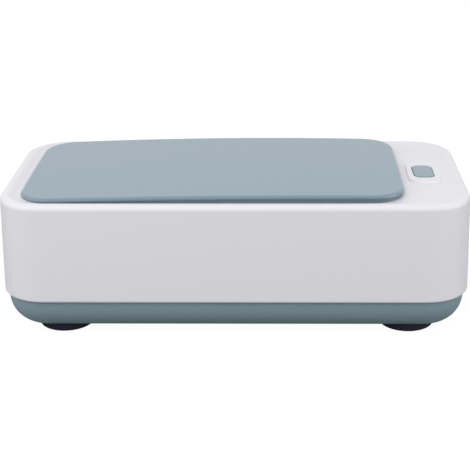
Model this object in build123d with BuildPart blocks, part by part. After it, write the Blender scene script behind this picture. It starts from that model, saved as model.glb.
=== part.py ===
from build123d import *
import os
from math import pi, radians, tan

os.makedirs("parts", exist_ok=True)

# Overall sizes of the case, in millimetres, standing on its feet with +Z up
body_length = 205.0
body_depth = 98.0
rim_height = 62.4
seam_height = 17.9
foot_height = 2.75
corner_radius = 19.5
wall_draft = 1.37

# White housing, with a shallow dish inside its rim
housing_wall = 2.4
rim_round = 2.7
seam_round = 1.0
dish_crest_inset = 3.4
dish_foot_inset = 6.0
dish_depth = 1.0
dish_crest_round = 1.5
dish_foot_round = 2.0
panel_thickness = 2.6

# Tank mouth, drawn vessel, and the ledge that carries its flange
mouth_left_margin = 15.3
mouth_right_margin = 35.0
mouth_side_margin = 11.6
mouth_radius = 12.0
vessel_headroom = 2.9
tank_wall = 0.8
tank_draft = 2.0
tank_floor_round = 7.0
tank_lip_round = 1.1
flange_width = 4.0
flange_clearance = 0.2
gasket_thickness = 0.8
gasket_inset = 0.4
tank_clearance = 0.6
ledge_thickness = 2.4
ledge_border = 2.0

# Lid, crowned along its length
lid_end_overlap = 6.55
lid_side_overlap = 7.0
lid_side_bow = 1.2
lid_end_bow = 0.5
lid_corner_radius = 14.3
lid_rise = 2.8
lid_crown_x = 20.0
lid_end_thickness = 1.38
lid_edge_round = 1.2
lid_edge_share = 0.9
lid_plate_edge = 1.6
lid_step = 0.8
lid_wall = 1.4
lid_thickness = 2.0
lid_gap = 0.25
skirt_drop = 3.5
skirt_wall = 1.5
skirt_clearance = 0.7

# Button and the raised surround that it comes through
button_end_margin = 17.35
button_y = -1.55
button_length = 9.0
button_depth = 17.0
button_radius = 3.0
button_height = 0.3
button_edge_round = 0.5
button_wall = 1.4
button_gap = 0.25
button_flange = 1.2
button_flange_thickness = 1.2
button_post_radius = 2.4
button_rib = 0.8
button_travel = 0.5
bezel_side_border = 2.85
bezel_end_border = 5.75
bezel_radius = 5.0
bezel_height = 0.9
bezel_draft = 4.0
bezel_round = 0.35
bezel_foot_round = 0.12
collar_wall = 1.4
collar_drop = 1.0

# Switch board under the button
board_thickness = 1.6
switch_board_length = 15.0
switch_board_end = 3.5
switch_board_corner = 1.5
switch_boss_radius = 2.8
switch_boss_gap = 1.1
switch_size = 6.0
switch_corner = 0.5
switch_body_height = 3.5
plunger_radius = 1.75
plunger_length = 1.5
plunger_hidden = 0.8
plunger_clearance = 0.05

# Grey base tray
base_inset = 1.9
base_round = 12.7
base_wall = 2.2
tongue_height = 3.0
tongue_clearance = 0.2
notch_width = 3.6
notch_height = 1.25
notch_reach = 14.0

# Case screws, one near each corner
case_screw_end_inset = 7.5
case_screw_side_inset = 16.0
case_boss_radius = 3.5
case_boss_foot = 16.0
web_thickness = 1.6
web_gap = 0.5
screw_well_radius = 3.3
screw_well_wall = 1.5
screw_seat_height = 11.5
case_screw_length = 12.0
case_screw_radius = 1.5
case_head_radius = 2.8
case_head_height = 2.2
case_head_round = 0.7
thread_clearance = 0.05
hole_clearance = 0.25
bore_end_clearance = 0.4

# Rubber feet
foot_radius = 12.3
foot_end_inset = 25.6
foot_side_inset = 20.25
foot_seat = 1.4
foot_clearance = 0.1
foot_edge_round = 1.2
foot_dimple_radius = 5.0
foot_dimple_depth = 0.6

# Main circuit board on its bosses
main_board_length = 66.0
main_board_depth = 64.0
main_board_end_gap = 14.5
main_board_height = 9.6
main_board_corner = 2.0
board_screw_inset = 4.0
board_boss_radius = 2.8
board_screw_radius = 1.15
board_screw_length = 4.6
board_head_radius = 2.2
board_head_height = 1.4
board_head_round = 0.45

# Ultrasonic transducer glued under the vessel
piezo_radius = 22.5
piezo_thickness = 3.0
bond_thickness = 0.3
bond_overlap = 0.8

# Drive transformer
core_length = 20.0
core_depth = 16.0
core_height = 5.5
core_bar = 3.0
core_leg = 4.0
winding_height = 10.0
winding_clearance = 0.1
winding_round = 1.5
transformer_offset = (-5.0, 14.0)

# Choke and capacitors
choke_radius = 5.0
choke_height = 9.5
choke_flange = 1.4
choke_waist = 0.8
choke_offset = (1.0, -10.0)
film_length = 13.0
film_depth = 6.0
film_height = 10.5
film_round = 0.6
film_offset = (-19.0, -16.0)
filter_radius = 4.0
filter_height = 15.0
filter_groove = 0.4
filter_groove_height = 2.0
filter_offset = (24.0, 9.75)
filter_pitch = 9.5

# Power transistor on its heat sink
sink_length = 16.0
sink_depth = 9.0
sink_height = 24.0
sink_plate = 2.0
fin_thickness = 1.2
fin_count = 5
sink_offset = (25.0, -14.0)
transistor_width = 10.0
transistor_thickness = 3.2
transistor_height = 9.0
transistor_lift = 5.0
tab_height = 6.0
tab_thickness = 1.3
leg_width = 0.8
leg_pitch = 2.54
sink_screw_radius = 1.25
sink_screw_length = 3.0
sink_screw_head_radius = 2.4
sink_screw_head_height = 1.6

# Flat parts on the main board
chip_length = 8.7
chip_depth = 3.9
chip_height = 1.6
chip_pin_length = 1.05
chip_pin_width = 0.4
chip_pin_height = 0.6
chip_pin_pitch = 1.27
chip_pins_per_side = 7
chip_offset = (-15.0, 0.0)
resistor_length = 3.2
resistor_depth = 1.6
resistor_height = 0.6
resistor_spacing = 5.0
resistor_columns = 4
resistor_rows = 2
resistor_offset = (1.0, -23.0)

# Power socket in the back wall
socket_end_margin = 20.5
socket_z = 32.0
socket_thread_radius = 4.0
socket_face_border = 1.6
socket_face_thickness = 1.4
socket_face_depth = 0.3
socket_length = 13.0
socket_bore_radius = 2.8
socket_bore_depth = 9.5
socket_pin_radius = 1.0
socket_pin_depth = 0.6
socket_recess_clearance = 0.2
socket_pad_border = 2.4
socket_pad_thickness = 2.0
socket_nut_wall = 1.5
socket_nut_thickness = 2.2
socket_tab_length = 4.0
socket_tab_width = 2.0
socket_tab_thickness = 0.5
socket_tab_offset = 2.2

# Insulated leads, drawn as routes from end to end
lead_radius = 0.65
lead_bend_share = 0.45
piezo_lead_offset = 9.5
piezo_lead_drop = 7.8

# Height within which a face is looked for at its level
level_margin = 0.01

# Levels that follow from the sizes above
panel_height = rim_height - dish_depth
panel_under = panel_height - panel_thickness
panel_middle = panel_height - panel_thickness / 2
flange_under = panel_height - tank_wall
ledge_height = flange_under - gasket_thickness
ledge_under = ledge_height - ledge_thickness
base_floor = foot_height + base_wall
board_top = main_board_height + board_thickness
vessel_under = board_top + film_height + vessel_headroom
bond_under = vessel_under - bond_thickness
piezo_under = bond_under - piezo_thickness
tank_depth = panel_height - vessel_under - tank_wall
lid_under = panel_height + lid_gap
lid_top_height = rim_height + lid_rise
bezel_top = panel_height + bezel_height
button_top = bezel_top + button_height
collar_under = panel_under - collar_drop
button_flange_top = collar_under - button_gap
button_under = button_flange_top - button_flange_thickness
switch_body_top = button_under - plunger_length
switch_board_top = switch_body_top - switch_body_height
switch_board_under = switch_board_top - board_thickness

# Sizes that follow: the mouth from the case, the lid from the mouth, and what surrounds the button
mouth_length = body_length - mouth_left_margin - mouth_right_margin
mouth_depth = body_depth - 2 * mouth_side_margin
mouth_center_x = (mouth_left_margin - mouth_right_margin) / 2
lid_length = mouth_length + 2 * lid_end_overlap
lid_depth = mouth_depth + 2 * lid_side_overlap
bezel_length = button_length + 2 * bezel_side_border
bezel_depth = button_depth + 2 * bezel_end_border
switch_screw_pitch = button_depth + 2 * (button_flange + switch_boss_gap + switch_boss_radius)
switch_board_depth = switch_screw_pitch + 2 * switch_board_end
socket_face_radius = socket_thread_radius + socket_face_border
socket_pad_radius = socket_face_radius + socket_pad_border
socket_nut_inradius = socket_thread_radius + socket_nut_wall

# Places that follow, measured from the ends and sides of the case
button_x = body_length / 2 - button_end_margin
socket_x = body_length / 2 - socket_end_margin
case_screw_x = body_length / 2 - case_screw_end_inset
case_screw_y = body_depth / 2 - case_screw_side_inset
foot_x = body_length / 2 - foot_end_inset
foot_y = body_depth / 2 - foot_side_inset
main_board_x = body_length / 2 - main_board_end_gap - main_board_length / 2
board_left_x = main_board_x - main_board_length / 2
board_screw_x = main_board_length / 2 - board_screw_inset
board_screw_y = main_board_depth / 2 - board_screw_inset
case_screw_places = [(sx * case_screw_x, sy * case_screw_y) for sx in (-1, 1) for sy in (-1, 1)]
switch_screw_places = [(button_x, button_y + side * switch_screw_pitch / 2) for side in (-1, 1)]
board_screw_places = [
    (main_board_x + sx * board_screw_x, sy * board_screw_y) for sx in (-1, 1) for sy in (-1, 1)
]
foot_places = {
    "front_left_foot": (-foot_x, -foot_y),
    "front_right_foot": (foot_x, -foot_y),
    "back_left_foot": (-foot_x, foot_y),
    "back_right_foot": (foot_x, foot_y),
}


def on_board(offset):
    """A place on the main board, from its offset to the board's middle."""
    return main_board_x + offset[0], offset[1]


transformer_place = on_board(transformer_offset)
choke_place = on_board(choke_offset)
film_place = on_board(film_offset)
chip_place = on_board(chip_offset)
resistor_place = on_board(resistor_offset)
sink_place = on_board(sink_offset)
filter_place = on_board(filter_offset)
filter_places = [(filter_place[0], filter_place[1] + side * filter_pitch / 2) for side in (-1, 1)]


def flare(height):
    """How far the case wall stands out, at a height, beyond its size at the rim."""
    return (rim_height - height) * tan(radians(wall_draft))


def wall_outline(height, inset):
    """The case wall's outline at a height, drawn in by an inset."""
    grow = flare(height) - inset
    RectangleRounded(body_length + 2 * grow, body_depth + 2 * grow, corner_radius + grow)


def mouth_outline(grow):
    """The tank mouth's outline, drawn out by grow."""
    with Locations((mouth_center_x, 0)):
        RectangleRounded(mouth_length + 2 * grow, mouth_depth + 2 * grow, mouth_radius + grow)


def button_outline(grow):
    """The button's outline, drawn out by grow."""
    with Locations((button_x, button_y)):
        RectangleRounded(button_length + 2 * grow, button_depth + 2 * grow, button_radius + grow)


def lid_outline(plan, grow):
    """The lid's outline with its bowed sides, drawn out by grow, in the open sketch plan."""
    left = mouth_center_x - lid_length / 2 - grow
    right = mouth_center_x + lid_length / 2 + grow
    side = lid_depth / 2 + grow
    with BuildLine() as border:
        near_left = (left + lid_end_bow, -side + lid_side_bow)
        near_right = (right - lid_end_bow, -side + lid_side_bow)
        far_right = (right - lid_end_bow, side - lid_side_bow)
        far_left = (left + lid_end_bow, side - lid_side_bow)
        ThreePointArc(near_left, (mouth_center_x, -side), near_right)
        ThreePointArc(near_right, (right, 0), far_right)
        ThreePointArc(far_right, (mouth_center_x, side), far_left)
        ThreePointArc(far_left, (left, 0), near_left)
    make_face(border.edges())
    fillet(plan.vertices(), lid_corner_radius + grow)


# Lid's long arc, from its crown down to the farther end
lid_far_reach = lid_length / 2 + abs(mouth_center_x - lid_crown_x)
lid_drop = lid_top_height - lid_under - lid_end_thickness
lid_crown_radius = (lid_far_reach ** 2 + lid_drop ** 2) / (2 * lid_drop)


def under_crown(depth):
    """Keep what lies below the lid's long arc, at a depth under its top, in the open part."""
    with BuildSketch(Plane.XZ) as arc_side:
        with Locations((lid_crown_x, lid_top_height - lid_crown_radius)):
            Circle(lid_crown_radius - depth)
    extrude(arc_side.sketch, amount=body_depth, both=True, mode=Mode.INTERSECT)


def face_at(part, height):
    """The level face of a part that lies at a height."""
    level_faces = part.faces().filter_by(Axis.Z)
    return level_faces.filter_by_position(Axis.Z, height - level_margin, height + level_margin)[0]


def cut_cross(places, start, head_radius, depth):
    """Cut a cross recess, one head radius wide, into each screw head, by a signed depth."""
    with BuildSketch(Plane.XY.offset(start)) as crosses:
        with Locations(*places):
            Rectangle(head_radius, head_radius / 4)
            Rectangle(head_radius / 4, head_radius)
    extrude(crosses.sketch, amount=depth, mode=Mode.SUBTRACT)


def discs(places, radius, start, length, mode=Mode.ADD):
    """Round bars at several places in the open part, from a height, by a signed length."""
    with BuildSketch(Plane.XY.offset(start)) as circles:
        with Locations(*places):
            Circle(radius)
    extrude(circles.sketch, amount=length, mode=mode)


def block(place, size, start, mode=Mode.ADD):
    """An upright block in the open part: its middle in plan, its three sizes and its lower height."""
    with BuildSketch(Plane.XY.offset(start)) as footprint:
        with Locations(place):
            Rectangle(size[0], size[1])
    extrude(footprint.sketch, amount=size[2], mode=mode)


def save(piece, name):
    """Label a finished piece and write its file."""
    piece.label = name
    export_step(piece, f"parts/{name}.step")


# Housing: the white upper shell, from its rim and dished panel down to the seam
socket_plane = Plane(origin=(socket_x, 0, socket_z), x_dir=(1, 0, 0), z_dir=(0, 1, 0))
back_wall_y = body_depth / 2 + flare(socket_z)
socket_face_y = back_wall_y - socket_face_depth
socket_seat_y = socket_face_y - socket_face_thickness
socket_pad_y = back_wall_y - housing_wall - socket_pad_thickness
with BuildPart() as housing:
    with BuildSketch(Plane.XY.offset(seam_height)):
        wall_outline(seam_height, 0)
    extrude(amount=rim_height - seam_height, taper=wall_draft)
    fillet(housing.faces().sort_by(Axis.Z)[-1].edges(), rim_round)
    fillet(housing.faces().sort_by(Axis.Z)[0].edges(), seam_round)
    # Shallow dish inside the rim, with a sloped and softened border
    with BuildSketch(Plane.XY.offset(rim_height)):
        wall_outline(rim_height, dish_crest_inset)
    with BuildSketch(Plane.XY.offset(panel_height)):
        wall_outline(rim_height, dish_foot_inset)
    loft(ruled=True, mode=Mode.SUBTRACT)
    rim_face = housing.faces().filter_by(Axis.Z).sort_by(Axis.Z)[-1]
    fillet(rim_face.inner_wires()[0].edges(), dish_crest_round)
    panel_face = housing.faces().filter_by(Axis.Z).sort_by(Axis.Z)[-2]
    fillet(panel_face.outer_wire().edges(), dish_foot_round)
    # Hollow inside, open at the seam
    with BuildSketch(Plane.XY.offset(seam_height)):
        wall_outline(seam_height, housing_wall)
    extrude(amount=panel_under - seam_height, taper=wall_draft, mode=Mode.SUBTRACT)
    # Thicker frame under the panel, the recess for the flange, and the mouth
    with BuildSketch(Plane.XY.offset(ledge_under)):
        mouth_outline(flange_width + ledge_border)
    extrude(amount=panel_middle - ledge_under)
    with BuildSketch(Plane.XY.offset(panel_height)):
        mouth_outline(flange_width + flange_clearance)
    extrude(amount=ledge_height - panel_height, mode=Mode.SUBTRACT)
    with BuildSketch(Plane.XY.offset(ledge_under)):
        mouth_outline(tank_wall + tank_clearance)
    extrude(amount=panel_height - ledge_under, mode=Mode.SUBTRACT)
    # Raised surround of the button, and the collar under it
    with BuildSketch(Plane.XY.offset(panel_height)):
        with Locations((button_x, button_y)):
            RectangleRounded(bezel_length, bezel_depth, bezel_radius)
    extrude(amount=bezel_height, taper=bezel_draft)
    fillet(face_at(housing, bezel_top).edges(), bezel_round)
    bezel_foot = face_at(housing, panel_height).inner_wires().sort_by(Axis.X)[-1]
    fillet(bezel_foot.edges(), bezel_foot_round)
    with BuildSketch(Plane.XY.offset(collar_under)):
        button_outline(button_gap + collar_wall)
    extrude(amount=panel_middle - collar_under)
    with BuildSketch(Plane.XY.offset(collar_under)):
        button_outline(button_gap)
    extrude(amount=bezel_top - collar_under, mode=Mode.SUBTRACT)
    # Bosses for the case screws, webs to the end walls, and bosses for the switch board
    discs(case_screw_places, case_boss_radius, case_boss_foot, panel_middle - case_boss_foot)
    for x, y in case_screw_places:
        web_end = body_length / 2 - housing_wall / 2
        web_middle = (case_screw_x + web_end) / 2 if x > 0 else -(case_screw_x + web_end) / 2
        web_start = seam_height + tongue_height + web_gap
        block((web_middle, y), (web_end - case_screw_x, web_thickness, panel_middle - web_start), web_start)
    discs(case_screw_places, case_screw_radius + thread_clearance, case_boss_foot,
          screw_seat_height + case_screw_length + bore_end_clearance - case_boss_foot, Mode.SUBTRACT)
    discs(switch_screw_places, switch_boss_radius, switch_board_top, panel_middle - switch_board_top)
    discs(switch_screw_places, board_screw_radius + thread_clearance, switch_board_top,
          board_screw_length - board_thickness + bore_end_clearance, Mode.SUBTRACT)
    # Pad, recess and hole for the power socket in the back wall
    with BuildSketch(socket_plane.offset(socket_pad_y)):
        Circle(socket_pad_radius)
    extrude(amount=back_wall_y - housing_wall / 2 - socket_pad_y)
    with BuildSketch(socket_plane.offset(socket_seat_y)):
        Circle(socket_face_radius + socket_recess_clearance)
    extrude(amount=2 * socket_face_thickness, mode=Mode.SUBTRACT)
    with BuildSketch(socket_plane.offset(socket_pad_y)):
        Circle(socket_thread_radius + thread_clearance)
    extrude(amount=back_wall_y - socket_pad_y, mode=Mode.SUBTRACT)
save(housing.part, "housing")

# Tank: the vessel drawn from stainless sheet, hung by its flange
with BuildPart() as tank_hollow:
    with BuildSketch(Plane.XY.offset(panel_height)):
        mouth_outline(0)
    extrude(amount=-tank_depth, taper=tank_draft)
    fillet(tank_hollow.faces().sort_by(Axis.Z)[0].edges(), tank_floor_round)
with BuildPart() as tank:
    with BuildSketch(Plane.XY.offset(panel_height)):
        mouth_outline(tank_wall)
    extrude(amount=-tank_depth - tank_wall, taper=tank_draft)
    fillet(tank.faces().sort_by(Axis.Z)[0].edges(), tank_floor_round + tank_wall)
    with BuildSketch(Plane.XY.offset(flange_under)):
        mouth_outline(flange_width)
    extrude(amount=tank_wall)
    add(tank_hollow.part, mode=Mode.SUBTRACT)
    flange_face = tank.faces().filter_by(Axis.Z).sort_by(Axis.Z)[-1]
    fillet(flange_face.inner_wires()[0].edges(), tank_lip_round)
save(tank.part, "tank")

# Tank gasket: the bonded silicone ring between the flange and the housing's ledge
with BuildPart() as tank_gasket:
    with BuildSketch(Plane.XY.offset(ledge_height)):
        mouth_outline(flange_width - gasket_inset)
    extrude(amount=gasket_thickness)
    with BuildSketch(Plane.XY.offset(ledge_height)):
        mouth_outline(tank_wall + tank_clearance)
    extrude(amount=gasket_thickness, mode=Mode.SUBTRACT)
save(tank_gasket.part, "tank_gasket")

# Piezo disc and the glue layer that bonds it to the vessel's floor
piezo_place = [(mouth_center_x, 0)]
with BuildPart() as transducer_bond:
    discs(piezo_place, piezo_radius + bond_overlap, bond_under, bond_thickness)
save(transducer_bond.part, "transducer_bond")
with BuildPart() as piezo_disc:
    discs(piezo_place, piezo_radius, piezo_under, piezo_thickness)
save(piezo_disc.part, "piezo_disc")

# Base tray: the grey lower shell with its round edge, foot seats and screw wells
with BuildPart() as tray_outside:
    with BuildSketch(Plane.XY.offset(foot_height)):
        wall_outline(seam_height, base_inset)
    extrude(amount=seam_height - foot_height)
    fillet(tray_outside.faces().sort_by(Axis.Z)[0].edges(), base_round)
with BuildPart() as tray_hollow:
    with BuildSketch(Plane.XY.offset(base_floor)):
        wall_outline(seam_height, base_inset + base_wall)
    extrude(amount=seam_height + tongue_height - base_floor)
    fillet(tray_hollow.faces().sort_by(Axis.Z)[0].edges(), base_round - base_wall)
with BuildPart() as tray_bosses:
    discs(case_screw_places, screw_well_radius + screw_well_wall, foot_height, case_boss_foot - foot_height)
    discs(board_screw_places, board_boss_radius, foot_height, main_board_height - foot_height)
    add(tray_outside.part, mode=Mode.INTERSECT)
with BuildPart() as base_tray:
    add(tray_outside.part)
    with BuildSketch(Plane.XY.offset(seam_height - tongue_height)):
        wall_outline(seam_height, housing_wall + tongue_clearance)
    extrude(amount=2 * tongue_height)
    add(tray_hollow.part, mode=Mode.SUBTRACT)
    add(tray_bosses.part)
    discs(case_screw_places, screw_well_radius, foot_height, screw_seat_height - foot_height, Mode.SUBTRACT)
    discs(case_screw_places, case_screw_radius + hole_clearance, screw_seat_height,
          case_boss_foot - screw_seat_height, Mode.SUBTRACT)
    discs(board_screw_places, board_screw_radius + thread_clearance, main_board_height,
          board_thickness - board_screw_length - bore_end_clearance, Mode.SUBTRACT)
    discs(foot_places.values(), foot_radius + foot_clearance, foot_height, foot_seat, Mode.SUBTRACT)
    notch_place = (0, -body_depth / 2 + base_inset)
    block(notch_place, (notch_width, 2 * notch_reach, notch_height), foot_height, Mode.SUBTRACT)
save(base_tray.part, "base_tray")

# Rubber feet, glued into their seats
for name, place in foot_places.items():
    with BuildPart() as foot:
        discs([place], foot_radius, 0, foot_height + foot_seat)
        fillet(foot.faces().sort_by(Axis.Z)[0].edges(), foot_edge_round)
        discs([place], foot_dimple_radius, 0, foot_dimple_depth, Mode.SUBTRACT)
    save(foot.part, name)

# Case screws, driven up from below through the tray into the housing's bosses
with BuildPart() as case_screws:
    discs(case_screw_places, case_head_radius, screw_seat_height - case_head_height, case_head_height)
    fillet(case_screws.faces().filter_by(Axis.Z).group_by(Axis.Z)[0].edges(), case_head_round)
    discs(case_screw_places, case_screw_radius, screw_seat_height, case_screw_length)
    cut_cross(case_screw_places, screw_seat_height - case_head_height, case_head_radius, case_head_height / 2)
save(case_screws.part, "case_screws")

# Main circuit board and its screws
with BuildPart() as main_board:
    with BuildSketch(Plane.XY.offset(main_board_height)):
        with Locations((main_board_x, 0)):
            RectangleRounded(main_board_length, main_board_depth, main_board_corner)
    extrude(amount=board_thickness)
    board_hole_radius = board_screw_radius + hole_clearance
    discs(board_screw_places, board_hole_radius, main_board_height, board_thickness, Mode.SUBTRACT)
save(main_board.part, "main_board")
with BuildPart() as board_screws:
    discs(board_screw_places, board_head_radius, board_top, board_head_height)
    fillet(board_screws.faces().filter_by(Axis.Z).group_by(Axis.Z)[-1].edges(), board_head_round)
    discs(board_screw_places, board_screw_radius, board_top, -board_screw_length)
    cut_cross(board_screw_places, board_top + board_head_height, board_head_radius, -board_head_height / 2)
save(board_screws.part, "board_screws")

# Drive transformer: a ferrite core of two windows, with a coil round its middle leg
core_start = board_top + (winding_height - core_height) / 2
window_length = core_length - 2 * core_bar
window_depth = (core_depth - core_leg) / 2 - core_bar
window_offset = core_leg / 2 + window_depth / 2
with BuildPart() as transformer_core:
    block(transformer_place, (core_length, core_depth, core_height), core_start)
    for side in (-1, 1):
        window_place = (transformer_place[0], transformer_place[1] + side * window_offset)
        block(window_place, (window_length, window_depth, core_height), core_start, Mode.SUBTRACT)
save(transformer_core.part, "transformer_core")
with BuildPart() as transformer_winding:
    coil_length = window_length - 2 * winding_clearance
    coil_depth = core_leg + 2 * (window_depth - winding_clearance)
    block(transformer_place, (coil_length, coil_depth, winding_height), board_top)
    fillet(transformer_winding.edges().filter_by(Axis.X), winding_round)
    leg_hole = (coil_length, core_leg + 2 * winding_clearance, core_height + 2 * winding_clearance)
    block(transformer_place, leg_hole, core_start - winding_clearance, Mode.SUBTRACT)
save(transformer_winding.part, "transformer_winding")

# Choke: a drum wound between two round flanges
with BuildPart() as choke:
    discs([choke_place], choke_radius, board_top, choke_flange)
    discs([choke_place], choke_radius - choke_waist, board_top, choke_height)
    discs([choke_place], choke_radius, board_top + choke_height - choke_flange, choke_flange)
save(choke.part, "choke")

# Film capacitor and the two can capacitors
with BuildPart() as film_capacitor:
    block(film_place, (film_length, film_depth, film_height), board_top)
    fillet(film_capacitor.edges().filter_by(Axis.Z), film_round)
    fillet(film_capacitor.faces().sort_by(Axis.Z)[-1].edges(), film_round)
save(film_capacitor.part, "film_capacitor")
with BuildPart() as filter_capacitors:
    discs(filter_places, filter_radius, board_top, filter_groove_height)
    discs(filter_places, filter_radius - filter_groove, board_top, filter_height)
    can_start = board_top + filter_groove_height + 2 * filter_groove
    discs(filter_places, filter_radius, can_start, board_top + filter_height - can_start)
    fillet(filter_capacitors.faces().filter_by(Axis.Z).group_by(Axis.Z)[-1].edges(), filter_groove)
save(filter_capacitors.part, "filter_capacitors")

# Heat sink: an upright plate with fins behind it
sink_front_y = sink_place[1] - sink_depth / 2
screw_z = board_top + transistor_lift + transistor_height + tab_height / 2
with BuildPart() as heat_sink:
    block((sink_place[0], sink_front_y + sink_plate / 2), (sink_length, sink_plate, sink_height), board_top)
    fin_step = (sink_length - fin_thickness) / (fin_count - 1)
    for fin in range(fin_count):
        fin_x = sink_place[0] - sink_length / 2 + fin_thickness / 2 + fin * fin_step
        block((fin_x, sink_place[1]), (fin_thickness, sink_depth, sink_height), board_top)
    with BuildSketch(Plane.XZ.offset(-sink_front_y)):
        with Locations((sink_place[0], screw_z)):
            Circle(sink_screw_radius + thread_clearance)
    extrude(amount=-sink_screw_length - bore_end_clearance, mode=Mode.SUBTRACT)
save(heat_sink.part, "heat_sink")

# Power transistor, flat against the heat sink, and the screw through its tab
with BuildPart() as power_transistor:
    transistor_y = sink_front_y - transistor_thickness / 2
    transistor_start = board_top + transistor_lift
    transistor_size = (transistor_width, transistor_thickness, transistor_height)
    block((sink_place[0], transistor_y), transistor_size, transistor_start)
    tab_place = (sink_place[0], sink_front_y - tab_thickness / 2)
    block(tab_place, (transistor_width, tab_thickness, tab_height), transistor_start + transistor_height)
    for pin in (-1, 0, 1):
        leg_place = (sink_place[0] + pin * leg_pitch, transistor_y)
        block(leg_place, (leg_width, leg_width / 2, transistor_lift), board_top)
    with BuildSketch(Plane.XZ.offset(-sink_front_y)):
        with Locations((sink_place[0], screw_z)):
            Circle(sink_screw_radius + hole_clearance)
    extrude(amount=tab_thickness, mode=Mode.SUBTRACT)
save(power_transistor.part, "power_transistor")
with BuildPart() as heat_sink_screw:
    with BuildSketch(Plane.XZ.offset(tab_thickness - sink_front_y)):
        with Locations((sink_place[0], screw_z)):
            Circle(sink_screw_head_radius)
    extrude(amount=sink_screw_head_height)
    with BuildSketch(Plane.XZ.offset(tab_thickness - sink_front_y)):
        with Locations((sink_place[0], screw_z)):
            Circle(sink_screw_radius)
    extrude(amount=-tab_thickness - sink_screw_length)
    with BuildSketch(Plane.XZ.offset(tab_thickness - sink_front_y + sink_screw_head_height)):
        with Locations((sink_place[0], screw_z)):
            Rectangle(sink_screw_head_radius, sink_screw_head_radius / 4)
            Rectangle(sink_screw_head_radius / 4, sink_screw_head_radius)
    extrude(amount=-sink_screw_head_height / 2, mode=Mode.SUBTRACT)
save(heat_sink_screw.part, "heat_sink_screw")

# Control chip with its two rows of pins
with BuildPart() as control_chip:
    block(chip_place, (chip_length, chip_depth, chip_height), board_top)
    pin_row = chip_depth / 2 + chip_pin_length / 2
    with BuildSketch(Plane.XY.offset(board_top)):
        for side in (-1, 1):
            with Locations((chip_place[0], chip_place[1] + side * pin_row)):
                with GridLocations(chip_pin_pitch, 1, chip_pins_per_side, 1):
                    Rectangle(chip_pin_width, chip_pin_length)
    extrude(amount=chip_pin_height)
save(control_chip.part, "control_chip")

# Chip resistors in two rows
with BuildPart() as chip_resistors:
    with BuildSketch(Plane.XY.offset(board_top)):
        with Locations(resistor_place):
            with GridLocations(resistor_spacing, resistor_spacing, resistor_columns, resistor_rows):
                Rectangle(resistor_length, resistor_depth)
    extrude(amount=resistor_height)
save(chip_resistors.part, "chip_resistors")

# Power socket with its centre pin and solder tabs, and the nut that holds it
with BuildPart() as power_socket:
    with BuildSketch(socket_plane.offset(socket_seat_y)):
        Circle(socket_face_radius)
    extrude(amount=socket_face_thickness)
    with BuildSketch(socket_plane.offset(socket_seat_y)):
        Circle(socket_thread_radius)
    extrude(amount=socket_face_thickness - socket_length)
    with BuildSketch(socket_plane.offset(socket_face_y)):
        Circle(socket_bore_radius)
    extrude(amount=-socket_bore_depth, mode=Mode.SUBTRACT)
    with BuildSketch(socket_plane.offset(socket_face_y - socket_bore_depth)):
        Circle(socket_pin_radius)
    extrude(amount=socket_bore_depth - socket_pin_depth)
    with BuildSketch(socket_plane.offset(socket_face_y - socket_length)):
        with Locations((0, -socket_tab_offset), (0, socket_tab_offset)):
            Rectangle(socket_tab_width, socket_tab_thickness)
    extrude(amount=-socket_tab_length)
save(power_socket.part, "power_socket")
with BuildPart() as socket_nut:
    with BuildSketch(socket_plane.offset(socket_pad_y)):
        RegularPolygon(socket_nut_inradius, 6, major_radius=False)
        Circle(socket_thread_radius + thread_clearance, mode=Mode.SUBTRACT)
    extrude(amount=-socket_nut_thickness)
save(socket_nut.part, "socket_nut")

# Switch board, hung under the button by two screws from below
with BuildPart() as switch_board:
    with BuildSketch(Plane.XY.offset(switch_board_under)):
        with Locations((button_x, button_y)):
            RectangleRounded(switch_board_length, switch_board_depth, switch_board_corner)
    extrude(amount=board_thickness)
    discs(switch_screw_places, board_hole_radius, switch_board_under, board_thickness, Mode.SUBTRACT)
save(switch_board.part, "switch_board")
with BuildPart() as switch_board_screws:
    discs(switch_screw_places, board_head_radius, switch_board_under, -board_head_height)
    fillet(switch_board_screws.faces().filter_by(Axis.Z).group_by(Axis.Z)[0].edges(), board_head_round)
    discs(switch_screw_places, board_screw_radius, switch_board_under, board_screw_length)
    recess_start = switch_board_under - board_head_height
    cut_cross(switch_screw_places, recess_start, board_head_radius, board_head_height / 2)
save(switch_board_screws.part, "switch_board_screws")

# Tactile switch: its body with a bore, and the plunger that the button presses
switch_place = [(button_x, button_y)]
with BuildPart() as tactile_switch:
    block(switch_place[0], (switch_size, switch_size, switch_body_height), switch_board_top)
    fillet(tactile_switch.edges().filter_by(Axis.Z), switch_corner)
    bore_depth = plunger_hidden + button_travel + bore_end_clearance
    discs(switch_place, plunger_radius + plunger_clearance, switch_body_top, -bore_depth, Mode.SUBTRACT)
save(tactile_switch.part, "tactile_switch")
with BuildPart() as switch_plunger:
    discs(switch_place, plunger_radius, switch_body_top - plunger_hidden, plunger_hidden + plunger_length)
save(switch_plunger.part, "switch_plunger")

# Button cap: a hollow key with a catch flange, and a ribbed post on the plunger
with BuildPart() as button_cap:
    with BuildSketch(Plane.XY.offset(button_under)):
        button_outline(0)
    extrude(amount=button_top - button_under)
    fillet(button_cap.faces().sort_by(Axis.Z)[-1].edges(), button_edge_round)
    with BuildSketch(Plane.XY.offset(button_under)):
        button_outline(button_flange)
    extrude(amount=button_flange_thickness)
    with BuildSketch(Plane.XY.offset(button_under)):
        button_outline(-button_wall)
    extrude(amount=button_top - button_wall - button_under, mode=Mode.SUBTRACT)
    post_height = button_top - button_wall - button_under
    discs(switch_place, button_post_radius, button_under, post_height)
    block(switch_place[0], (button_rib, button_depth - button_wall, post_height), button_under)
save(button_cap.part, "button_cap")

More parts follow.
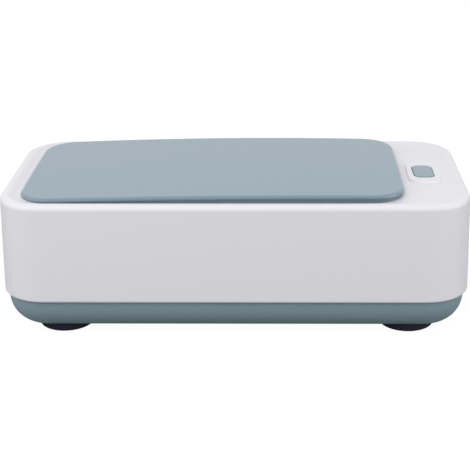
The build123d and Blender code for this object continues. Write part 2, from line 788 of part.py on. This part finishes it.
# Lid: a crowned plate over a wall set in from its edge, and a skirt that drops into the mouth
with BuildPart() as lid_hollow:
    with BuildSketch(Plane.XY.offset(lid_under)) as hollow_plan:
        lid_outline(hollow_plan, -lid_step - lid_wall)
    extrude(amount=lid_top_height - lid_under)
    under_crown(lid_thickness)
with BuildPart() as lid_skirt:
    with BuildSketch(Plane.XY.offset(panel_height - skirt_drop)):
        mouth_outline(-skirt_clearance)
        mouth_inside = -skirt_clearance - skirt_wall
        with Locations((mouth_center_x, 0)):
            RectangleRounded(mouth_length + 2 * mouth_inside, mouth_depth + 2 * mouth_inside,
                             mouth_radius + mouth_inside, mode=Mode.SUBTRACT)
    extrude(amount=lid_top_height - panel_height + skirt_drop)
    under_crown(lid_end_thickness / 2)
with BuildPart() as lid_step_cut:
    with BuildSketch(Plane.XY.offset(lid_under)) as step_outside:
        lid_outline(step_outside, lid_step)
    extrude(amount=lid_top_height - lid_under)
    with BuildSketch(Plane.XY.offset(lid_under)) as step_inside:
        lid_outline(step_inside, -lid_step)
    extrude(amount=lid_top_height - lid_under, mode=Mode.SUBTRACT)
    under_crown(lid_plate_edge)
with BuildPart() as lid:
    with BuildSketch(Plane.XY.offset(lid_under)) as lid_plan:
        lid_outline(lid_plan, 0)
    extrude(amount=lid_top_height - lid_under)
    under_crown(0)
    fillet(lid.faces().sort_by(Axis.Z)[-1].edges(), min(lid_edge_round, lid_edge_share * lid_end_thickness))
    add(lid_step_cut.part, mode=Mode.SUBTRACT)
    add(lid_hollow.part, mode=Mode.SUBTRACT)
    add(lid_skirt.part)
save(lid.part, "lid")


def lead(name, points):
    """An insulated lead along a route of straight runs and tangent bends."""
    runs = [Vector(*b) - Vector(*a) for a, b in zip(points, points[1:])]
    radii = []
    for run, following in zip(runs, runs[1:]):
        turn = radians(run.get_angle(following))
        radii.append(lead_bend_share * min(run.length, following.length) / tan(turn / 2))
    with BuildPart() as wire:
        with BuildLine() as route:
            FilletPolyline(*points, radius=radii)
        with BuildSketch(Plane(origin=points[0], z_dir=runs[0])):
            Circle(lead_radius)
        sweep(path=route.wires()[0])
    save(wire.part, name)
    expected = pi * lead_radius ** 2 * route.wires()[0].length
    print(name, "bend radii", [round(radius, 1) for radius in radii],
          "volume", round(wire.part.volume, 2), "of", round(expected, 2))


# Leads from the piezo disc to the left edge of the main board
lead_level = board_top + lead_radius + thread_clearance
piezo_lead_x = mouth_center_x + piezo_lead_offset
piezo_lead_bend = piezo_under - piezo_lead_drop
lead("piezo_lead_red", [
    (piezo_lead_x, 4.0, piezo_under), (piezo_lead_x, 4.0, piezo_lead_bend),
    (piezo_lead_x + 9.0, 4.4, board_top + 1.2), (board_left_x - 5.5, 4.0, board_top + 2.2),
    (board_left_x + 2.0, 3.5, lead_level), (board_left_x + 8.0, 3.3, lead_level),
])
lead("piezo_lead_black", [
    (piezo_lead_x, -4.0, piezo_under), (piezo_lead_x, -4.0, piezo_lead_bend),
    (piezo_lead_x + 9.0, -4.5, board_top + 1.0), (board_left_x - 5.5, -4.0, board_top + 2.3),
    (board_left_x + 2.0, -3.4, lead_level), (board_left_x + 8.0, -3.2, lead_level),
])

# Leads from the switch board down to the main board, through the space beside the vessel
switch_lead_y = button_y + 6.9
switch_lead_bend = switch_board_under - 8.7
lead("switch_lead_white", [
    (button_x - 0.5, switch_lead_y, switch_board_under), (button_x - 0.5, switch_lead_y, switch_lead_bend),
    (button_x - 0.1, 8.0, 32.0), (button_x + 0.1, 14.5, 24.0),
    (button_x - 0.1, 19.5, 18.5), (button_x - 0.1, 19.5, board_top),
])
lead("switch_lead_blue", [
    (button_x + 1.9, switch_lead_y, switch_board_under), (button_x + 1.9, switch_lead_y, switch_lead_bend),
    (button_x + 2.2, 8.0, 32.0), (button_x + 2.3, 14.5, 24.0),
    (button_x + 2.0, 19.5, 18.5), (button_x + 2.0, 19.5, board_top),
])

# Leads from the power socket's tabs to the main board
socket_tab_y = socket_face_y - socket_length - socket_tab_length
upper_tab_z = socket_z + socket_tab_offset
lower_tab_z = socket_z - socket_tab_offset
lead("socket_lead_red", [
    (socket_x, socket_tab_y, upper_tab_z), (socket_x, socket_tab_y - 8.0, upper_tab_z),
    (socket_x - 4.0, socket_tab_y - 10.5, 23.5), (socket_x - 9.0, 22.0, 17.5),
    (socket_x - 9.0, 22.0, board_top),
])
lead("socket_lead_black", [
    (socket_x, socket_tab_y, lower_tab_z), (socket_x, socket_tab_y - 7.0, lower_tab_z),
    (socket_x - 3.0, socket_tab_y - 10.0, 22.0), (socket_x - 9.5, 25.0, 17.5),
    (socket_x - 9.5, 25.0, board_top),
])
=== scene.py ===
import math
import bpy
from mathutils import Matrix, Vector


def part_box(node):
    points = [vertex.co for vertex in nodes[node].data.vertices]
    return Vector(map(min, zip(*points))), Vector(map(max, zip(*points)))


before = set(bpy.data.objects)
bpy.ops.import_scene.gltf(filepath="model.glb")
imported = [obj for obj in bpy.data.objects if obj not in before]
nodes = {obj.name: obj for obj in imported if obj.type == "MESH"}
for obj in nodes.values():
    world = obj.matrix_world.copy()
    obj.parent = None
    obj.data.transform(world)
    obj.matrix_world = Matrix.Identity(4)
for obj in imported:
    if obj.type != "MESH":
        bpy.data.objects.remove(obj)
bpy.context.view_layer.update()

for item in bpy.context.selected_objects:
    item.select_set(False)


# Studio: the photograph's view of the cleaner on a white sweep, in soft light from the front
# above and from both ends. The camera's place comes from the rim, the seam and the feet. The
# sweep shows white with a faint shadow, and sends less light back up than it shows.
class Flow:
    """A socket of a material's nodes. Arithmetic on it adds Math nodes."""

    def __init__(self, tree, socket=None):
        self.tree = tree
        self.socket = socket

    def make(self, kind, settings={}, sockets={}, output=0):
        """A new node: its settings first, then the values or links of its sockets."""
        node = self.tree.nodes.new(kind)
        for name, value in settings.items():
            setattr(node, name, value)
        for name, value in sockets.items():
            if isinstance(value, Flow):
                self.tree.links.new(value.socket, node.inputs[name])
            else:
                node.inputs[name].default_value = value
        return Flow(self.tree, node.outputs[output])

    def math(self, operation, *values):
        return self.make("ShaderNodeMath", {"operation": operation}, dict(enumerate(values)))

    def other(self, output):
        """Another output of the same node."""
        return Flow(self.tree, self.socket.node.outputs[output])

    def __add__(self, other):
        return self.math("ADD", self, other)

    def __sub__(self, other):
        return self.math("SUBTRACT", self, other)

    def __rsub__(self, other):
        return self.math("SUBTRACT", other, self)

    def __mul__(self, other):
        return self.math("MULTIPLY", self, other)

    def __gt__(self, other):
        return self.math("GREATER_THAN", self, other)

    def __lt__(self, other):
        return self.math("LESS_THAN", self, other)

    def __or__(self, other):
        return self.math("MAXIMUM", self, other)

    def __abs__(self):
        return self.math("ABSOLUTE", self)

    __radd__ = __add__
    __rmul__ = __mul__


def radians(angles):
    return [math.radians(angle) for angle in angles]


def grey(level):
    return (level, level, level, 1)


camera_place = (0.01844, -0.52410, 0.23144)
camera_turn = (69.0345, 0.3478, 0.9323)
scene = bpy.context.scene
scene.view_settings.view_transform = "Standard"
bpy.ops.object.camera_add(location=camera_place, rotation=radians(camera_turn))
camera = bpy.context.object
camera.name = "camera"
camera.data.sensor_width = 36
camera.data.lens = 91.693
camera.data.shift_x = -0.0448
camera.data.clip_start = 0.01
scene.camera = camera

world = bpy.data.worlds.new("studio_white")
scene.world = world
world.use_nodes = True
sky_level = 0.46
sky = world.node_tree.nodes["Background"]
sky.inputs["Color"].default_value = grey(1)
rays = Flow(world.node_tree).make("ShaderNodeLightPath")
seen = rays | rays.other("Is Glossy Ray") | rays.other("Is Transmission Ray")
world.node_tree.links.new((seen * (1 - sky_level) + sky_level).socket, sky.inputs["Strength"])

floor_width, floor_gap = 6, 0.0002
matt_level, mirrored_level, shadow_level, glow_level = 0.27, 0.45, 0.08, 0.96
bpy.ops.mesh.primitive_plane_add(size=floor_width, location=(0, 0, -floor_gap))
floor = bpy.context.object
floor.name = "floor"
floor.select_set(False)
sweep = bpy.data.materials.new("white_sweep")
sweep.use_nodes = True
tree = sweep.node_tree
rays = Flow(tree).make("ShaderNodeLightPath")
matt = rays.make("ShaderNodeBsdfDiffuse", {}, {"Color": grey(matt_level)})
pale = rays.make("ShaderNodeBsdfDiffuse", {}, {"Color": grey(mirrored_level)})
faint = rays.make("ShaderNodeBsdfDiffuse", {}, {"Color": grey(shadow_level)})
glow = rays.make("ShaderNodeEmission", {}, {"Color": grey(1), "Strength": glow_level})
shown = rays.make("ShaderNodeAddShader", {}, {0: faint, 1: glow})
mirrored = rays.make("ShaderNodeMixShader", {}, {0: rays.other("Is Glossy Ray"), 1: matt, 2: pale})
both = rays.make("ShaderNodeMixShader", {}, {0: rays, 1: mirrored, 2: shown})
tree.links.new(both.socket, tree.nodes["Material Output"].inputs["Surface"])
tree.nodes.remove(tree.nodes["Principled BSDF"])
floor.data.materials.append(sweep)

for place, turn, width, watts, in_gloss in (
    ((-0.20, -0.58, 0.67), (42, 0, -19), 0.9, 4.3, False),
    ((0.70, -0.24, 0.20), (78, 0, 71), 0.6, 2.0, True),
    ((-0.70, -0.22, 0.20), (78, 0, -73), 0.6, 1.2, True),
    ((0.0, 0.70, 0.30), (-70, 0, 0), 0.7, 1.3, False),
):
    bpy.ops.object.light_add(type="AREA", location=place, rotation=radians(turn))
    lamp = bpy.context.object
    lamp.data.shape = "DISK"
    lamp.data.size = width
    lamp.data.energy = watts
    lamp.visible_camera = False
    lamp.visible_glossy = in_gloss
    lamp.select_set(False)


# Base tray: the lower shell, moulded in grey-blue ABS with a fine matt texture on its outside.
# It takes the feet, the case screws and the main board, and its top edge tucks into the housing.
X, Y, Z = 0, 1, 2


def new_finish(name):
    """An empty finish, and a piece's own coordinates in metres."""
    material = bpy.data.materials.new(name)
    material.use_nodes = True
    return material, Flow(material.node_tree).make("ShaderNodeTexCoord", output=3)


def along(place, axis):
    """One of the three coordinates."""
    return place.make("ShaderNodeSeparateXYZ", {}, {0: place}, axis)


def grain(place, scale, detail=2.0, stretch=(1, 1, 1)):
    """Noise between 0 and 1, with its scale in lumps per metre."""
    stretched = place.make("ShaderNodeMapping", {}, {"Vector": place, "Scale": stretch})
    return place.make("ShaderNodeTexNoise", {}, {"Vector": stretched, "Scale": scale, "Detail": detail})


def shade(factor, low, high):
    """A colour between two, by a factor."""
    return factor.make("ShaderNodeMix", {"data_type": "RGBA"}, {0: factor, 6: low, 7: high}, 2)


def tone(colour, level):
    """A colour, lighter or darker."""
    return (*[min(1, part * level) for part in colour[:3]], 1)


def relief(height, depth):
    """A surface raised by a height between 0 and 1, to a depth in metres."""
    return height.make("ShaderNodeBump", {}, {"Height": height, "Distance": depth})


def facing(place, axis):
    """How far the surface faces along an axis, either way, from 0 to 1."""
    normal = place.make("ShaderNodeNewGeometry", output=1)
    return abs(along(normal, axis))


def finish_with(material, sockets, *pieces):
    """Set the shader's sockets, and give the finish to the named CAD pieces."""
    shader = material.node_tree.nodes["Principled BSDF"]
    for name, value in sockets.items():
        if isinstance(value, Flow):
            material.node_tree.links.new(value.socket, shader.inputs[name])
        else:
            shader.inputs[name].default_value = value
    for piece in pieces:
        nodes[piece].data.materials.clear()
        nodes[piece].data.materials.append(material)


def moulded(name, piece, colour, roughness, texture_depth, coat=0.0, painted_side_shade=0.0):
    """Moulded plastic: fine pits, clouds of tone and worn edges. The sides can carry a painted shade,
    darker than the top.
    """
    material, place = new_finish(name)
    cloud = grain(place, 14, 3)
    pits = grain(place, 2600, 3)
    level = facing(place, Z)
    edge = (level > 0.25) * (level < 0.85)
    worn = edge * grain(place, 160, 3)
    tint = shade(cloud, tone(colour, 0.985), tone(colour, 1.015))
    tint = shade(worn * 0.3, tint, tone(colour, 1.04))
    # Painted shade: the colour darkens as the surface turns from facing up to facing sideways.
    tint = shade(level, tone(colour, 1 - painted_side_shade), tint)
    gleam = roughness + (cloud - 0.5) * 0.06 + (grain(place, 300, 2) - 0.5) * 0.05 - worn * 0.05
    finish_with(material, {
        "Base Color": tint, "Roughness": gleam, "Specular IOR Level": 0.5, "Coat Weight": coat,
        "Coat Roughness": 0.28, "Normal": relief(pits, texture_depth),
    }, piece)


base_grey_blue = (0.219, 0.310, 0.352)
moulded("base_plastic", "base_tray", base_grey_blue, roughness=0.58, texture_depth=5e-5)


# Feet: four soft black rubber pads, moulded with a round edge and a dimple, glued into seats
# in the base. Their undersides carry a little dust from the table.
black_rubber, dusty_rubber = (0.017, 0.016, 0.030, 1), (0.06, 0.06, 0.065, 1)
dust_height = 0.0006
material, place = new_finish("foot_rubber")
dust = (along(place, Z) < dust_height) * grain(place, 1100, 5)
bloom = dust * 0.45 + grain(place, 60, 2) * 0.1
finish_with(material, {
    "Base Color": shade(bloom, black_rubber, dusty_rubber),
    "Roughness": 0.66 + grain(place, 300, 2) * 0.12, "Specular IOR Level": 0.2,
    "Normal": relief(grain(place, 1800, 3), 4e-5),
}, "front_left_foot", "front_right_foot", "back_left_foot", "back_right_foot")


# Main board: a glass-epoxy board with printed copper under green solder mask, and bare tinned
# pads. It lies on four bosses of the base tray.
board_grid = 0.00254


def square(value):
    return value.math("POWER", 2)


def printed_board(node):
    """A board with broken tracks both ways, round pads on a grid, and pale sawn edges."""
    bare_mask, masked_copper = (0.012, 0.115, 0.042, 1), (0.035, 0.205, 0.080, 1)
    dark_glass, pale_glass = (0.34, 0.30, 0.15, 1), (0.50, 0.46, 0.26, 1)
    half_track, pad_radius_squared = 0.13, 0.075
    material, place = new_finish(node + "_laminate")
    across, away = along(place, X) * (1 / board_grid), along(place, Y) * (1 / board_grid)

    def chance(column, row, layer):
        """A number from 0 to 1 that is the same all over a cell."""
        cell = place.make("ShaderNodeCombineXYZ", {},
                          {0: column.math("FLOOR"), 1: row.math("FLOOR"), 2: layer})
        return place.make("ShaderNodeTexWhiteNoise", {"noise_dimensions": "3D"}, {"Vector": cell})

    def tracks(run, step):
        """Copper lines along one way, broken here and there."""
        return (abs(step.math("FRACT") - 0.5) < half_track) * (chance(run * 0.31, step, 0.0) > 0.42)

    copper = tracks(across, away) | tracks(away, across)
    reach = square(across.math("FRACT") - 0.5) + square(away.math("FRACT") - 0.5)
    pads = (reach < pad_radius_squared) * (chance(across, away, 7.0) > 0.72)
    flat = facing(place, Z) > 0.5
    tinned = shade(pads, shade(copper, bare_mask, masked_copper), (0.66, 0.66, 0.63, 1))
    laminate = shade(grain(place, 2500, 2, (1, 1, 6)), dark_glass, pale_glass)
    finish_with(material, {
        "Base Color": shade(flat, laminate, tinned), "Metallic": pads * flat,
        "Roughness": 0.36 + pads * 0.05 + (1 - flat) * 0.35,
        "Normal": relief((copper | pads) * flat, 3.5e-5),
    }, node)


printed_board("main_board")


# Screws: zinc-plated steel with pressed cross recesses. The rolled thread shows as rings along
# the shanks.
def rings(place, axis, pitch):
    """A wave from -1 to 1 along an axis: threads, or turns of wire."""
    return (along(place, axis) * (2 * math.pi / pitch)).math("SINE")


def plated_screw(name, thread_pitch, axis, *pieces):
    """Plated steel whose thread runs along an axis."""
    material, place = new_finish(name)
    turns = rings(place, axis, thread_pitch)
    shank = facing(place, axis) < 0.5
    stain = grain(place, 700, 3)
    finish_with(material, {
        "Base Color": shade(stain, (0.50, 0.50, 0.50, 1), (0.68, 0.67, 0.63, 1)), "Metallic": 1.0,
        "Roughness": 0.26 + stain * 0.18, "Normal": relief(turns * shank * 0.5 + 0.5, 1.4e-4),
    }, *pieces)


plated_screw("case_screw_steel", 0.0011, Z, "case_screws")
plated_screw("board_screw_steel", 0.0008, Z, "board_screws", "switch_board_screws")
plated_screw("heat_sink_screw_steel", 0.0005, Y, "heat_sink_screw")


# Drive transformer: a pressed ferrite core of two windows with a coil of enamelled copper round
# its middle leg, wrapped in yellow tape. It steps the drive up for the transducer.
material, place = new_finish("pressed_ferrite")
speck = grain(place, 2400, 4)
chipped = grain(place, 900, 3) > 0.66
finish_with(material, {
    "Base Color": shade(speck, (0.030, 0.030, 0.033, 1), (0.085, 0.083, 0.085, 1)),
    "Roughness": 0.46 + speck * 0.2 - chipped * 0.1, "Normal": relief(speck, 5e-5),
}, "transformer_core")

untaped_width, wire_pitch, tape_width = 0.0014, 0.00035, 0.0032
low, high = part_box("transformer_winding")
material, place = new_finish("taped_coil")
middle, half = (low[X] + high[X]) / 2, (high[X] - low[X]) / 2
ends = abs(along(place, X) - middle) > half - untaped_width
wires = rings(place, X, wire_pitch)
laps = (along(place, X) * (1 / tape_width)).math("FRACT") < 0.06
taped = shade(grain(place, 90, 3), (0.66, 0.40, 0.045, 1), (0.78, 0.52, 0.09, 1))
taped = shade(laps * 0.5, taped, (0.46, 0.25, 0.03, 1))
finish_with(material, {
    "Base Color": shade(ends, taped, (0.56, 0.20, 0.075, 1)), "Metallic": ends * 0.85,
    "Roughness": 0.30 + grain(place, 400, 2) * 0.12,
    "Normal": relief(ends * wires * 0.5 + 0.5 * laps, 1.0e-4),
}, "transformer_winding")


# Choke: a ferrite drum wound with enamelled copper, standing on the board by its lower flange.
flange_height, wire_pitch = 0.0014, 0.00056
low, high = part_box("choke")
material, place = new_finish("wound_drum")
wound = (along(place, Z) > low[Z] + flange_height) * (along(place, Z) < high[Z] - flange_height)
wires = rings(place, Z, wire_pitch)
finish_with(material, {
    "Base Color": shade(wound, (0.05, 0.05, 0.053, 1), (0.58, 0.21, 0.08, 1)), "Metallic": wound * 0.85,
    "Roughness": 0.48 - wound * 0.2, "Coat Weight": wound * 0.6,
    "Normal": relief(wires * wound * 0.5 + 0.5, 2.4e-4),
}, "choke")


# Film capacitor: a wound film block dipped in brick-red epoxy, which leaves soft lumps.
material, place = new_finish("dipped_epoxy")
lumps = grain(place, 260, 2)
finish_with(material, {
    "Base Color": shade(grain(place, 120, 3), (0.36, 0.065, 0.030, 1), (0.47, 0.10, 0.045, 1)),
    "Roughness": 0.22 + lumps * 0.12, "Normal": relief(lumps, 3e-4),
}, "film_capacitor")


# Filter capacitors: two aluminium cans in dark blue sleeves, with a pale stripe down one side
# and a scored vent in each bare top.
def cell_distance(place, axis, start, half_cell):
    """Distance along an axis from the nearest even multiple of half a cell, from a start on."""
    return place.make("ShaderNodeMath", {"operation": "PINGPONG"},
                      {0: along(place, axis) - start, 1: half_cell})


top_depth, sleeve_lip, half_score = 0.0002, 0.0009, 0.00018
low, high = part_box("filter_capacitors")
can_radius = (high[X] - low[X]) / 2
material, place = new_finish("sleeved_can")
offset = cell_distance(place, Y, low[Y], (high[Y] - low[Y]) / 2) - can_radius
sideways = along(place, X) - (low[X] + can_radius)
reach = (square(sideways) + square(offset)).math("SQRT")
top = (along(place, Z) > high[Z] - top_depth) * (reach < can_radius - sleeve_lip)
score = top * ((abs(sideways) < half_score) | (abs(offset) < half_score)) * (reach < can_radius * 0.6)
stripe = (sideways < -can_radius * 0.86) * (1 - top)
sleeve = shade(stripe, (0.012, 0.018, 0.060, 1), (0.42, 0.44, 0.48, 1))
finish_with(material, {
    "Base Color": shade(top, sleeve, (0.70, 0.70, 0.71, 1)), "Metallic": top,
    "Roughness": 0.30 + grain(place, 500, 2) * 0.08, "Normal": relief(1 - score, 1.5e-4),
}, "filter_capacitors")


# Heat sink: an extruded aluminium comb, anodised black, with draw lines along its fins. The
# power transistor is screwed flat against its plate.
material, place = new_finish("anodised_extrusion")
drawn = grain(place, 2200, 3, (1, 1, 0.02))
finish_with(material, {
    "Base Color": shade(drawn, (0.035, 0.035, 0.040, 1), (0.075, 0.075, 0.082, 1)), "Metallic": 0.55,
    "Roughness": 0.36 + drawn * 0.16, "Normal": relief(drawn, 4e-5),
}, "heat_sink")

tab_height, leg_height = 0.006, 0.005
low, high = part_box("power_transistor")
material, place = new_finish("transistor_package")
metal = (along(place, Z) > high[Z] - tab_height) | (along(place, Z) < low[Z] + leg_height)
finish_with(material, {
    "Base Color": shade(metal, (0.016, 0.016, 0.017, 1), (0.62, 0.61, 0.59, 1)), "Metallic": metal,
    "Roughness": 0.52 - metal * 0.2 + grain(place, 900, 2) * 0.1,
    "Normal": relief(grain(place, 3500, 2), 2e-5),
}, "power_transistor")


# Control chip and chip resistors: a moulded package with tinned pins and a first-pin dot, and
# eight ceramic resistors with a dark glaze between tinned end caps.
half_package, dot_inset_x, dot_inset_y, dot_radius_squared = 0.00196, 0.0011, 0.0021, 2.5e-7
low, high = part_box("control_chip")
material, place = new_finish("chip_package")
pins = abs(along(place, Y) - (low[Y] + high[Y]) / 2) > half_package
dot_x = along(place, X) - (low[X] + dot_inset_x)
dot_y = along(place, Y) - (low[Y] + dot_inset_y)
dot = (square(dot_x) + square(dot_y) < dot_radius_squared) * (1 - pins)
finish_with(material, {
    "Base Color": shade(pins, (0.014, 0.014, 0.015, 1), (0.66, 0.66, 0.64, 1)), "Metallic": pins,
    "Roughness": 0.55 - pins * 0.25 - dot * 0.3, "Normal": relief(1 - dot, 8e-5),
}, "control_chip")

spacing, half_length, glaze_depth = 0.005, 0.0016, 0.00008
low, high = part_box("chip_resistors")
material, place = new_finish("chip_resistor_body")
caps = cell_distance(place, X, low[X] + half_length, spacing / 2) > half_length * 0.72
glazed = (along(place, Z) > high[Z] - glaze_depth) * (1 - caps)
ceramic = shade(glazed, (0.72, 0.71, 0.68, 1), (0.018, 0.018, 0.020, 1))
finish_with(material, {
    "Base Color": shade(caps, ceramic, (0.68, 0.68, 0.66, 1)), "Metallic": caps,
    "Roughness": 0.34 + grain(place, 2000, 2) * 0.12,
}, "chip_resistors")


# Tank: a vessel deep-drawn from stainless sheet, polished, with fine drawing lines down its
# walls and a faint water mark. Its flange lies on the gasket.
water_depth, mark_waver, half_mark = 0.011, 0.002, 0.0005
low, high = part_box("tank")
material, place = new_finish("drawn_stainless")
wall = facing(place, Z) < 0.5
drawn = wall * grain(place, 1400, 3, (1, 1, 0.03)) + (1 - wall) * grain(place, 1400, 3, (0.04, 1, 1))
cloud = grain(place, 26, 3)
above_water = along(place, Z) + (cloud - 0.5) * mark_waver - (high[Z] - water_depth)
mark = wall * (abs(above_water) < half_mark)
drops = (1 - wall) * (grain(place, 240, 3) > 0.63)
finish_with(material, {
    "Base Color": shade(cloud, (0.58, 0.575, 0.565, 1), (0.66, 0.655, 0.645, 1)), "Metallic": 1.0,
    "Roughness": 0.20 + drawn * 0.12 + mark * 0.12 + drops * 0.05,
    "Normal": relief(drawn, 7e-6),
}, "tank")


# Gasket: a flat ring of soft silicone between the tank's flange and the housing's ledge.
material, place = new_finish("soft_silicone")
finish_with(material, {
    "Base Color": shade(grain(place, 60, 3), (0.70, 0.70, 0.68, 1), (0.78, 0.78, 0.76, 1)),
    "Roughness": 0.42 + grain(place, 700, 2) * 0.14, "Normal": relief(grain(place, 1500, 2), 2e-5),
}, "tank_gasket")


# Transducer: a disc of piezo ceramic, silvered on its faces and bare round its rim, glued under
# the vessel's floor with a thin squeezed-out layer of amber epoxy.
def axis_distance(place, low, high, axes):
    """Distance from the middle of a box, over two of its axes."""
    first, second = [along(place, axis) - (low[axis] + high[axis]) / 2 for axis in axes]
    return (square(first) + square(second)).math("SQRT")


bare_rim = 0.0008
low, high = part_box("piezo_disc")
disc_radius = (high[X] - low[X]) / 2
material, place = new_finish("silvered_ceramic")
reach = axis_distance(place, low, high, (X, Y))
silver = (facing(place, Z) > 0.5) * (reach < disc_radius - bare_rim)
brushed = grain(place, 900, 3)
ceramic = shade(grain(place, 500, 3), (0.60, 0.53, 0.40, 1), (0.70, 0.63, 0.50, 1))
finish_with(material, {
    "Base Color": shade(silver, ceramic, (0.80, 0.79, 0.76, 1)), "Metallic": silver * 0.9,
    "Roughness": 0.44 + brushed * 0.16, "Normal": relief(brushed + silver, 2e-5),
}, "piezo_disc")

material, place = new_finish("amber_epoxy")
squeezed = grain(place, 420, 3)
finish_with(material, {
    "Base Color": shade(squeezed, (0.42, 0.25, 0.065, 1), (0.58, 0.38, 0.13, 1)),
    "Roughness": 0.20 + squeezed * 0.15, "Normal": relief(squeezed, 1.5e-4),
}, "transducer_bond")


# Power socket: a round inlet of black nylon for a barrel plug, with a plated centre pin and two
# solder tabs, held in the back wall by a hexagon nut.
pin_radius, bore_depth, tab_length = 0.00105, 0.0096, 0.004
thread_pitch, flange_depth, thread_core = 0.00075, 0.0015, 0.0038
low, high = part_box("power_socket")
material, place = new_finish("socket_nylon")
reach = axis_distance(place, low, high, (X, Z))
pin = (reach < pin_radius) * (along(place, Y) > high[Y] - bore_depth)
metal = pin | (along(place, Y) < low[Y] + tab_length)
turns = rings(place, Y, thread_pitch) * (along(place, Y) < high[Y] - flange_depth)
thread = turns * (reach > thread_core) * 0.5 + 0.5
finish_with(material, {
    "Base Color": shade(metal, (0.014, 0.014, 0.016, 1), (0.74, 0.72, 0.66, 1)), "Metallic": metal,
    "Roughness": 0.38 - metal * 0.14 + grain(place, 900, 2) * 0.08, "Normal": relief(thread, 2e-4),
}, "power_socket")

material, place = new_finish("nickel_plate")
rolled = grain(place, 1200, 3)
finish_with(material, {
    "Base Color": shade(rolled, (0.58, 0.57, 0.53, 1), (0.70, 0.69, 0.65, 1)), "Metallic": 1.0,
    "Roughness": 0.22 + rolled * 0.14, "Normal": relief(rolled, 2e-5),
}, "socket_nut")


# Switch board: a small board under the button, hung from two bosses of the housing, with a
# tactile switch: a black moulded body under a thin steel cover, and a dark plunger.
printed_board("switch_board")

cover_depth = 0.0005
low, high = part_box("tactile_switch")
material, place = new_finish("switch_body")
steel = along(place, Z) > high[Z] - cover_depth
finish_with(material, {
    "Base Color": shade(steel, (0.016, 0.016, 0.017, 1), (0.60, 0.60, 0.59, 1)), "Metallic": steel,
    "Roughness": 0.46 - steel * 0.16 + grain(place, 1200, 2) * 0.1, "Normal": relief(1 - steel, 1e-4),
}, "tactile_switch")

material, place = new_finish("dark_acetal")
finish_with(material, {
    "Base Color": shade(grain(place, 400, 2), (0.020, 0.020, 0.022, 1), (0.034, 0.034, 0.036, 1)),
    "Roughness": 0.34 + grain(place, 1500, 2) * 0.1, "Normal": relief(grain(place, 2500, 2), 1e-5),
}, "switch_plunger")


# Leads: six stranded wires in coloured PVC, with their ends stripped and tinned where they are
# soldered to the disc, the boards and the socket's tabs.
red_pvc, black_pvc = (0.50, 0.020, 0.016), (0.018, 0.018, 0.019)
white_pvc, blue_pvc = (0.72, 0.72, 0.70), (0.030, 0.085, 0.36)
first_strip, last_strip = 0.0016, 0.0022


def insulated_lead(node, colour, first_axis, last_axis, last_is_high):
    """PVC over the route, bare at the high end along one axis and at one end along another."""
    low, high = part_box(node)
    material, place = new_finish(node + "_pvc")
    bare = along(place, first_axis) > high[first_axis] - first_strip
    if last_is_high:
        bare = bare | (along(place, last_axis) > high[last_axis] - last_strip)
    else:
        bare = bare | (along(place, last_axis) < low[last_axis] + last_strip)
    rub = grain(place, 350, 3)
    pvc = shade(rub, tone(colour, 0.9), tone(colour, 1.1))
    finish_with(material, {
        "Base Color": shade(bare, pvc, (0.70, 0.69, 0.66, 1)), "Metallic": bare,
        "Roughness": 0.36 + rub * 0.14, "Normal": relief(grain(place, 1800, 2) + (1 - bare), 3e-5),
    }, node)


insulated_lead("piezo_lead_red", red_pvc, Z, X, True)
insulated_lead("piezo_lead_black", black_pvc, Z, X, True)
insulated_lead("switch_lead_white", white_pvc, Z, Z, False)
insulated_lead("switch_lead_blue", blue_pvc, Z, Z, False)
insulated_lead("socket_lead_red", red_pvc, Y, Z, False)
insulated_lead("socket_lead_black", black_pvc, Y, Z, False)


# Housing: the upper shell, moulded in white ABS, with its rim, dished panel and the raised
# surround of the button. It carries the tank and closes on the base tray.
housing_white = (0.795, 0.790, 0.835)
moulded("housing_plastic", "housing", housing_white, roughness=0.42, texture_depth=2e-5)


# Button: a rounded key in the lid's grey-blue ABS. It comes through the surround and presses
# the switch's plunger.
lid_grey_blue = (0.189, 0.278, 0.340)
# Its sides carry a painted shade, 28 per cent darker than its top.
moulded("button_plastic", "button_cap", lid_grey_blue, roughness=0.40, texture_depth=1.6e-5,
        coat=0.6, painted_side_shade=0.28)


# Lid: a crowned plate of grey-blue ABS, satin on top, over a wall that is set in from its edge.
# It lies loose on the panel and its skirt drops into the tank's mouth.
# Its sides carry a painted shade, 28 per cent darker than its top.
moulded("lid_plastic", "lid", lid_grey_blue, roughness=0.40, texture_depth=1.6e-5,
        coat=0.6, painted_side_shade=0.28)
